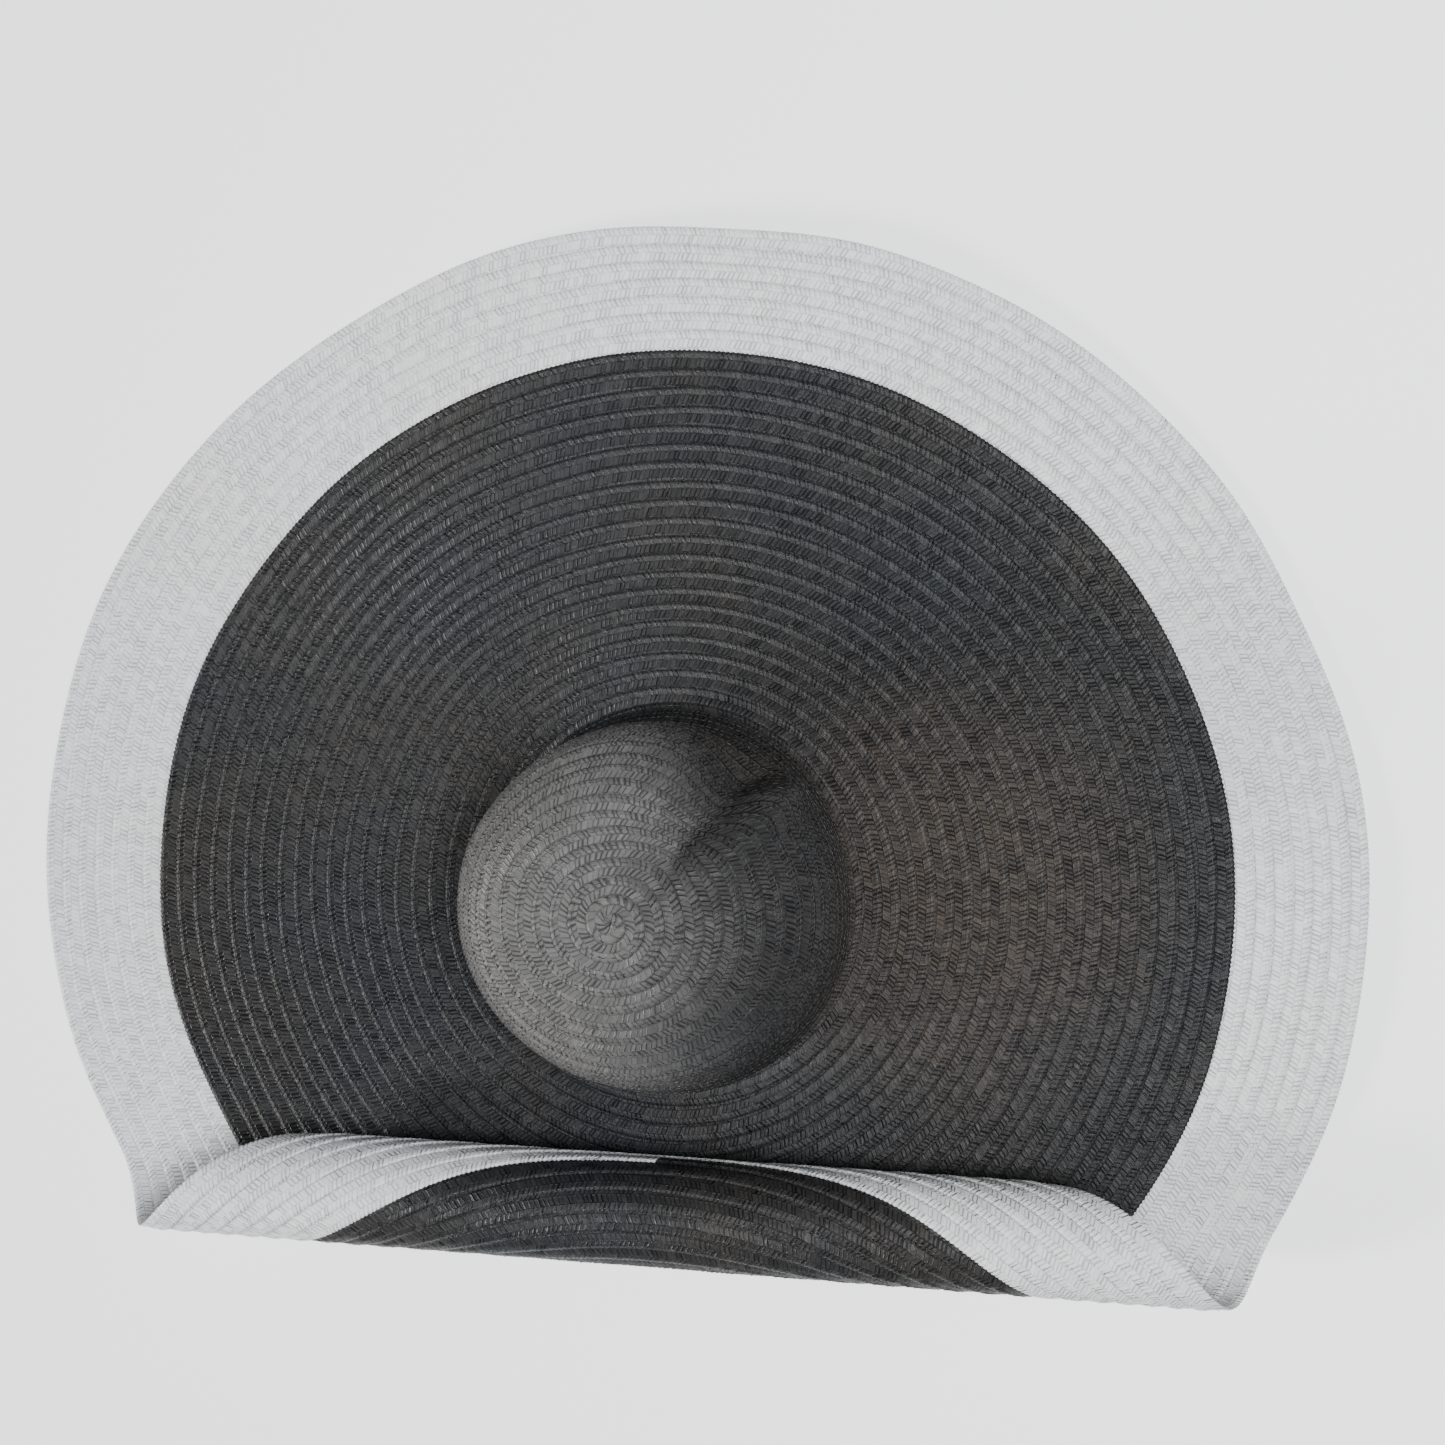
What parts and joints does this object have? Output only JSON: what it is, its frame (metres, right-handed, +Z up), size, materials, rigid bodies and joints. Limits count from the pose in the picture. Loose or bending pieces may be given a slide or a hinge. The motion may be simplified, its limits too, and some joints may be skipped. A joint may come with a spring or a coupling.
{
  "type": "wide-brim floppy sun hat",
  "caption": "Wide floppy sun hat sewn from spiral braid, with a rounded crown that presses down, a sweatband, and a front brim rolled up into a scroll.",
  "frame": {"origin": "centre of the head opening, on the plane of the brim's underside", "axes": "+Z up through the crown, +X to the wearer's left along the rolled edge, -Y to the front, where the brim is rolled up"},
  "size_m": [0.6998, 0.5333, 0.12],
  "materials": {
    "black_braid": "matt plaited paper yarn, black",
    "white_braid": "matt plaited paper yarn, off-white",
    "sweatband_ribbon": "ribbed polyester ribbon, black",
    "black_thread": "fine sewing thread, charcoal",
    "white_thread": "fine sewing thread, white"
  },
  "bodies": {
    "hat": {"crown_side_braid": "black_braid", "crown_side_stitching": "black_thread", "brim_black_braid": "black_braid", "brim_white_braid": "white_braid", "brim_fold_black": "black_braid", "brim_fold_white": "white_braid", "brim_black_stitching": "black_thread", "brim_white_stitching": "white_thread", "sweatband": "sweatband_ribbon", "sweatband_stitching": "black_thread", "sweatband_joint_tab": "sweatband_ribbon"},
    "crown_top": {"crown_top_braid": "black_braid", "crown_tip_coil": "black_braid", "crown_top_stitching": "black_thread"},
    "brim_roll_1": {"roll_1_black": "black_braid", "roll_1_white": "white_braid"},
    "brim_roll_2": {"roll_2_black": "black_braid", "roll_2_white": "white_braid"},
    "brim_roll_3": {"roll_3_black": "black_braid", "roll_3_white": "white_braid"},
    "brim_roll_4": {"roll_4_black": "black_braid", "roll_4_white": "white_braid"},
    "brim_roll_5": {"roll_5_white": "white_braid"},
    "brim_roll_6": {"roll_6_white": "white_braid"}
  },
  "joints": [
    {"name": "crown_press", "type": "slide", "parent": "hat", "child": "crown_top", "axis": [0.1064, -0.195, -0.975], "range_m": [0, 0.036], "stiffness_N_per_m": 150, "springref_m": -0.01},
    {"name": "brim_unroll", "type": "hinge", "parent": "hat", "child": "brim_roll_1", "pos_m": [0, -0.17092, 0.004], "axis": [1, 0, 0], "range_deg": [0, 65.27]},
    {"name": "brim_unroll_2", "type": "hinge", "parent": "brim_roll_1", "child": "brim_roll_2", "pos_m": [0, -0.18341, 0.03111], "axis": [1, 0, 0], "range_deg": [0, 65.28]},
    {"name": "brim_unroll_3", "type": "hinge", "parent": "brim_roll_2", "child": "brim_roll_3", "pos_m": [0, -0.16401, 0.05379], "axis": [1, 0, 0], "range_deg": [0, 65.28]},
    {"name": "brim_unroll_4", "type": "hinge", "parent": "brim_roll_3", "child": "brim_roll_4", "pos_m": [0, -0.13529, 0.04566], "axis": [1, 0, 0], "range_deg": [0, 65.28]},
    {"name": "brim_unroll_5", "type": "hinge", "parent": "brim_roll_4", "child": "brim_roll_5", "pos_m": [0, -0.13108, 0.01611], "axis": [1, 0, 0], "range_deg": [0, 74.2]},
    {"name": "brim_unroll_6", "type": "hinge", "parent": "brim_roll_5", "child": "brim_roll_6", "pos_m": [0, -0.15818, 0.00362], "axis": [1, 0, 0], "range_deg": [0, 74.2]}
  ],
  "couplings": [
    {"joint": "brim_unroll_2", "follows": "brim_unroll", "ratio": 1},
    {"joint": "brim_unroll_3", "follows": "brim_unroll", "ratio": 1},
    {"joint": "brim_unroll_4", "follows": "brim_unroll", "ratio": 1},
    {"joint": "brim_unroll_5", "follows": "brim_unroll", "ratio": 1.1367},
    {"joint": "brim_unroll_6", "follows": "brim_unroll", "ratio": 1.1367}
  ]
}
